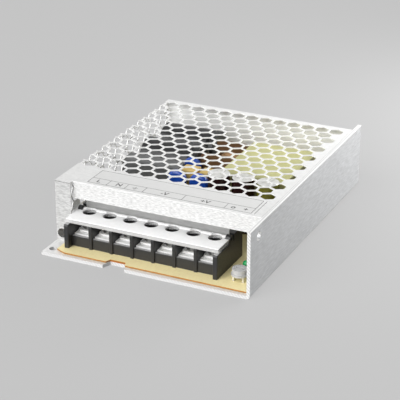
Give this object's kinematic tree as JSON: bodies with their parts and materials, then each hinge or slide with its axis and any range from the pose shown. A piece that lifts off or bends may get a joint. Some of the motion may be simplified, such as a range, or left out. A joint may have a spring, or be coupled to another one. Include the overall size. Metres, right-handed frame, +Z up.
{
  "type": "mesh case switching power supply",
  "caption": "Enclosed switching power supply with a folded aluminium base, a hexagon mesh cover, a screw terminal block under a hinged clear guard, and a trimmer.",
  "frame": {"origin": "middle of the underside of the base", "axes": "+X to the folded side wall, +Y from the terminals to the back, +Z up"},
  "size_m": [0.097, 0.129, 0.03],
  "materials": {
    "brushed_aluminium": "brushed",
    "bright_steel": "zinc plated, satin",
    "plated_screws": "nickel plated",
    "polyester_film": "clear film",
    "paper_laminate": "phenolic paper laminate",
    "black_moulding": "moulded, satin",
    "tinned_copper": "tin plated",
    "clear_polycarbonate": "clear, glossy",
    "grey_marker": "satin",
    "trimmer_body": "moulded",
    "green_lens": "tinted epoxy",
    "fuse_glass": "glass with nickel caps",
    "lacquer_dark": "lacquered",
    "epoxy_black": "moulded epoxy",
    "grey_case": "moulded",
    "yellow_case": "potted",
    "blue_lacquer": "lacquered",
    "sleeve_grey": "shrink sleeve",
    "sleeve_maroon": "shrink sleeve",
    "bobbin_brown": "phenolic",
    "ferrite": "sintered",
    "enamelled_wire": "enamelled copper",
    "yellow_tape": "polyester tape",
    "silicone_pad": "silicone",
    "steel_bar": "zinc plated"
  },
  "bodies": {
    "case": {"chassis": "brushed_aluminium", "mesh_cover": "bright_steel", "cover_screws": "plated_screws", "insulation_film": "polyester_film", "circuit_board": "paper_laminate", "board_screws": "plated_screws", "terminal_block": "black_moulding", "terminal_contacts": "tinned_copper", "marker_strip": "grey_marker", "trimmer_base": "trimmer_body", "indicator_lamp": "green_lens", "fuse": "fuse_glass", "thermistor": "lacquer_dark", "bridge_rectifier": "epoxy_black", "mains_film_capacitor": "grey_case", "signal_film_capacitor_1": "yellow_case", "signal_film_capacitor_2": "yellow_case", "disc_capacitor_1": "blue_lacquer", "disc_capacitor_2": "blue_lacquer", "disc_capacitor_3": "blue_lacquer", "bulk_capacitor_1": "sleeve_grey", "bulk_capacitor_2": "sleeve_grey", "smoothing_capacitor_1": "sleeve_maroon", "smoothing_capacitor_2": "sleeve_maroon", "smoothing_capacitor_3": "sleeve_maroon", "transformer_bobbin": "epoxy_black", "transformer_core": "ferrite", "transformer_winding": "enamelled_wire", "transformer_tape": "yellow_tape", "choke_bobbin": "bobbin_brown", "choke_winding": "enamelled_wire", "control_chip": "epoxy_black", "optocoupler": "epoxy_black", "thermal_pad": "silicone_pad", "power_transistor": "epoxy_black", "output_rectifier": "epoxy_black", "clamp_bar": "steel_bar", "clamp_posts": "steel_bar", "clamp_bar_screws": "plated_screws"},
    "terminal_guard": {"terminal_guard": "clear_polycarbonate"},
    "trimmer_rotor": {"trimmer_rotor": "trimmer_body"},
    "terminal_clamp_1": {"terminal_clamp_1": "tinned_copper"},
    "terminal_screw_1": {"terminal_screw_1": "plated_screws"},
    "terminal_clamp_2": {"terminal_clamp_2": "tinned_copper"},
    "terminal_screw_2": {"terminal_screw_2": "plated_screws"},
    "terminal_clamp_3": {"terminal_clamp_3": "tinned_copper"},
    "terminal_screw_3": {"terminal_screw_3": "plated_screws"},
    "terminal_clamp_4": {"terminal_clamp_4": "tinned_copper"},
    "terminal_screw_4": {"terminal_screw_4": "plated_screws"},
    "terminal_clamp_5": {"terminal_clamp_5": "tinned_copper"},
    "terminal_screw_5": {"terminal_screw_5": "plated_screws"},
    "terminal_clamp_6": {"terminal_clamp_6": "tinned_copper"},
    "terminal_screw_6": {"terminal_screw_6": "plated_screws"},
    "terminal_clamp_7": {"terminal_clamp_7": "tinned_copper"},
    "terminal_screw_7": {"terminal_screw_7": "plated_screws"}
  },
  "joints": [
    {"name": "guard_hinge", "type": "hinge", "parent": "case", "child": "terminal_guard", "pos_m": [-0.00465, -0.0444, 0.015], "axis": [-1, 0, 0], "range_deg": [0, 45]},
    {"name": "trimmer_turn", "type": "hinge", "parent": "case", "child": "trimmer_rotor", "pos_m": [0.0396, -0.0546, 0.0072], "axis": [0, 0, 1], "range_deg": [-130, 130]},
    {"name": "clamp_1_lift", "type": "slide", "parent": "case", "child": "terminal_clamp_1", "axis": [0, 0, 1], "range_m": [0, 0.0024]},
    {"name": "screw_1_turn", "type": "hinge", "parent": "terminal_clamp_1", "child": "terminal_screw_1", "pos_m": [-0.03435, -0.0468, 0.0084], "axis": [0, 0, 1], "range_deg": [0, 1440]},
    {"name": "clamp_2_lift", "type": "slide", "parent": "case", "child": "terminal_clamp_2", "axis": [0, 0, 1], "range_m": [0, 0.0024]},
    {"name": "screw_2_turn", "type": "hinge", "parent": "terminal_clamp_2", "child": "terminal_screw_2", "pos_m": [-0.02445, -0.0468, 0.0084], "axis": [0, 0, 1], "range_deg": [0, 1440]},
    {"name": "clamp_3_lift", "type": "slide", "parent": "case", "child": "terminal_clamp_3", "axis": [0, 0, 1], "range_m": [0, 0.0024]},
    {"name": "screw_3_turn", "type": "hinge", "parent": "terminal_clamp_3", "child": "terminal_screw_3", "pos_m": [-0.01455, -0.0468, 0.0084], "axis": [0, 0, 1], "range_deg": [0, 1440]},
    {"name": "clamp_4_lift", "type": "slide", "parent": "case", "child": "terminal_clamp_4", "axis": [0, 0, 1], "range_m": [0, 0.0024]},
    {"name": "screw_4_turn", "type": "hinge", "parent": "terminal_clamp_4", "child": "terminal_screw_4", "pos_m": [-0.00465, -0.0468, 0.0084], "axis": [0, 0, 1], "range_deg": [0, 1440]},
    {"name": "clamp_5_lift", "type": "slide", "parent": "case", "child": "terminal_clamp_5", "axis": [0, 0, 1], "range_m": [0, 0.0024]},
    {"name": "screw_5_turn", "type": "hinge", "parent": "terminal_clamp_5", "child": "terminal_screw_5", "pos_m": [0.00525, -0.0468, 0.0084], "axis": [0, 0, 1], "range_deg": [0, 1440]},
    {"name": "clamp_6_lift", "type": "slide", "parent": "case", "child": "terminal_clamp_6", "axis": [0, 0, 1], "range_m": [0, 0.0024]},
    {"name": "screw_6_turn", "type": "hinge", "parent": "terminal_clamp_6", "child": "terminal_screw_6", "pos_m": [0.01515, -0.0468, 0.0084], "axis": [0, 0, 1], "range_deg": [0, 1440]},
    {"name": "clamp_7_lift", "type": "slide", "parent": "case", "child": "terminal_clamp_7", "axis": [0, 0, 1], "range_m": [0, 0.0024]},
    {"name": "screw_7_turn", "type": "hinge", "parent": "terminal_clamp_7", "child": "terminal_screw_7", "pos_m": [0.02505, -0.0468, 0.0084], "axis": [0, 0, 1], "range_deg": [0, 1440]}
  ],
  "couplings": [
    {"joint": "screw_1_turn", "follows": "clamp_1_lift", "rad_per_m": 10472},
    {"joint": "screw_2_turn", "follows": "clamp_2_lift", "rad_per_m": 10472},
    {"joint": "screw_3_turn", "follows": "clamp_3_lift", "rad_per_m": 10472},
    {"joint": "screw_4_turn", "follows": "clamp_4_lift", "rad_per_m": 10472},
    {"joint": "screw_5_turn", "follows": "clamp_5_lift", "rad_per_m": 10472},
    {"joint": "screw_6_turn", "follows": "clamp_6_lift", "rad_per_m": 10472},
    {"joint": "screw_7_turn", "follows": "clamp_7_lift", "rad_per_m": 10472}
  ]
}
